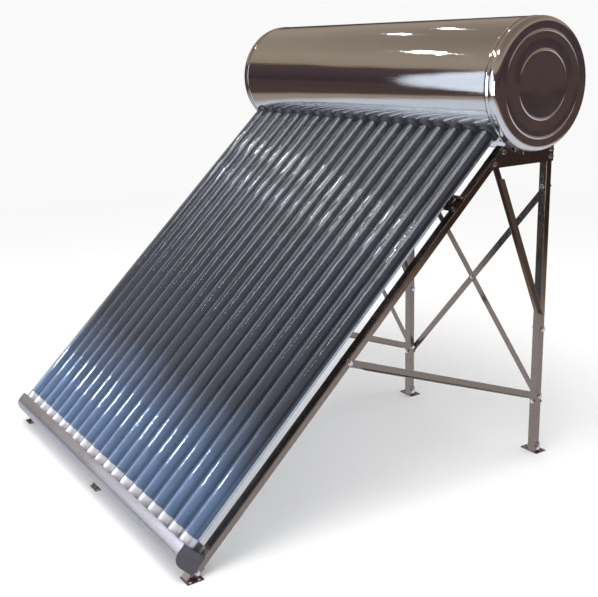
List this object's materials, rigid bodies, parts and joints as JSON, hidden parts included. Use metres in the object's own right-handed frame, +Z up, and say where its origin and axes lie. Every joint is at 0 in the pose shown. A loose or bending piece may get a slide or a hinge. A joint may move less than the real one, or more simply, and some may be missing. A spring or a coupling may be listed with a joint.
{
  "type": "solar water heater",
  "caption": "Thermosyphon solar water heater: polished horizontal tank above a sloping row of evacuated glass tubes on a bolted steel stand.",
  "frame": {"origin": "middle of the footprint box on the ground", "axes": "+X along the tank, the tubes face -Y and slope down towards it, +Z up"},
  "size_m": [1.6, 1.6292, 1.59],
  "materials": {
    "tube_glass": "dark selective absorber behind clear glass",
    "polished_steel": "mirror-polished stainless sheet",
    "satin_steel": "satin stainless sheet",
    "frame_steel": "bright rolled stainless profile",
    "inner_steel": "plain welded stainless",
    "foam": "rigid polyurethane foam",
    "silicone": "white silicone",
    "black_rubber": "matt black rubber",
    "dark_plastic": "dark grey moulded plastic",
    "bolt_steel": "bright fasteners"
  },
  "bodies": {
    "root": {"tank_shell": "polished_steel", "end_cap_left": "polished_steel", "end_cap_right": "polished_steel", "tail_tray": "satin_steel", "tank_insulation": "foam", "water_tank": "inner_steel", "tube_seals": "silicone", "dust_rings": "black_rubber", "pipe_stubs": "inner_steel", "tail_cups": "dark_plastic", "tray_end_left": "dark_plastic", "tray_end_right": "dark_plastic", "rail_left": "frame_steel", "rail_middle": "frame_steel", "rail_right": "frame_steel", "leg_left": "frame_steel", "leg_middle": "frame_steel", "leg_right": "frame_steel", "tie_left": "frame_steel", "tie_middle": "frame_steel", "tie_right": "frame_steel", "brace_left": "frame_steel", "brace_middle": "frame_steel", "brace_right": "frame_steel", "cradle_left": "frame_steel", "cradle_middle": "frame_steel", "cradle_right": "frame_steel", "rear_brace_a": "frame_steel", "rear_brace_b": "frame_steel", "rear_brace_c": "frame_steel", "rear_brace_d": "frame_steel", "cross_bar": "frame_steel", "foot_front_left": "frame_steel", "foot_front_middle": "frame_steel", "foot_front_right": "frame_steel", "foot_rear_left": "frame_steel", "foot_rear_middle": "frame_steel", "foot_rear_right": "frame_steel", "frame_bolts": "bolt_steel", "frame_nuts": "bolt_steel"},
    "glass_tube_01": {"tube_01": "tube_glass"},
    "glass_tube_02": {"tube_02": "tube_glass"},
    "glass_tube_03": {"tube_03": "tube_glass"},
    "glass_tube_04": {"tube_04": "tube_glass"},
    "glass_tube_05": {"tube_05": "tube_glass"},
    "glass_tube_06": {"tube_06": "tube_glass"},
    "glass_tube_07": {"tube_07": "tube_glass"},
    "glass_tube_08": {"tube_08": "tube_glass"},
    "glass_tube_09": {"tube_09": "tube_glass"},
    "glass_tube_10": {"tube_10": "tube_glass"},
    "glass_tube_11": {"tube_11": "tube_glass"},
    "glass_tube_12": {"tube_12": "tube_glass"},
    "glass_tube_13": {"tube_13": "tube_glass"},
    "glass_tube_14": {"tube_14": "tube_glass"},
    "glass_tube_15": {"tube_15": "tube_glass"},
    "glass_tube_16": {"tube_16": "tube_glass"},
    "glass_tube_17": {"tube_17": "tube_glass"},
    "glass_tube_18": {"tube_18": "tube_glass"},
    "glass_tube_19": {"tube_19": "tube_glass"},
    "glass_tube_20": {"tube_20": "tube_glass"}
  },
  "joints": [
    {"name": "tube_01_slide", "type": "slide", "parent": "root", "child": "glass_tube_01", "axis": [0, 0.7314, 0.682], "range_m": [0, 0.05]},
    {"name": "tube_02_slide", "type": "slide", "parent": "root", "child": "glass_tube_02", "axis": [0, 0.7314, 0.682], "range_m": [0, 0.05]},
    {"name": "tube_03_slide", "type": "slide", "parent": "root", "child": "glass_tube_03", "axis": [0, 0.7314, 0.682], "range_m": [0, 0.05]},
    {"name": "tube_04_slide", "type": "slide", "parent": "root", "child": "glass_tube_04", "axis": [0, 0.7314, 0.682], "range_m": [0, 0.05]},
    {"name": "tube_05_slide", "type": "slide", "parent": "root", "child": "glass_tube_05", "axis": [0, 0.7314, 0.682], "range_m": [0, 0.05]},
    {"name": "tube_06_slide", "type": "slide", "parent": "root", "child": "glass_tube_06", "axis": [0, 0.7314, 0.682], "range_m": [0, 0.05]},
    {"name": "tube_07_slide", "type": "slide", "parent": "root", "child": "glass_tube_07", "axis": [0, 0.7314, 0.682], "range_m": [0, 0.05]},
    {"name": "tube_08_slide", "type": "slide", "parent": "root", "child": "glass_tube_08", "axis": [0, 0.7314, 0.682], "range_m": [0, 0.05]},
    {"name": "tube_09_slide", "type": "slide", "parent": "root", "child": "glass_tube_09", "axis": [0, 0.7314, 0.682], "range_m": [0, 0.05]},
    {"name": "tube_10_slide", "type": "slide", "parent": "root", "child": "glass_tube_10", "axis": [0, 0.7314, 0.682], "range_m": [0, 0.05]},
    {"name": "tube_11_slide", "type": "slide", "parent": "root", "child": "glass_tube_11", "axis": [0, 0.7314, 0.682], "range_m": [0, 0.05]},
    {"name": "tube_12_slide", "type": "slide", "parent": "root", "child": "glass_tube_12", "axis": [0, 0.7314, 0.682], "range_m": [0, 0.05]},
    {"name": "tube_13_slide", "type": "slide", "parent": "root", "child": "glass_tube_13", "axis": [0, 0.7314, 0.682], "range_m": [0, 0.05]},
    {"name": "tube_14_slide", "type": "slide", "parent": "root", "child": "glass_tube_14", "axis": [0, 0.7314, 0.682], "range_m": [0, 0.05]},
    {"name": "tube_15_slide", "type": "slide", "parent": "root", "child": "glass_tube_15", "axis": [0, 0.7314, 0.682], "range_m": [0, 0.05]},
    {"name": "tube_16_slide", "type": "slide", "parent": "root", "child": "glass_tube_16", "axis": [0, 0.7314, 0.682], "range_m": [0, 0.05]},
    {"name": "tube_17_slide", "type": "slide", "parent": "root", "child": "glass_tube_17", "axis": [0, 0.7314, 0.682], "range_m": [0, 0.05]},
    {"name": "tube_18_slide", "type": "slide", "parent": "root", "child": "glass_tube_18", "axis": [0, 0.7314, 0.682], "range_m": [0, 0.05]},
    {"name": "tube_19_slide", "type": "slide", "parent": "root", "child": "glass_tube_19", "axis": [0, 0.7314, 0.682], "range_m": [0, 0.05]},
    {"name": "tube_20_slide", "type": "slide", "parent": "root", "child": "glass_tube_20", "axis": [0, 0.7314, 0.682], "range_m": [0, 0.05]}
  ]
}
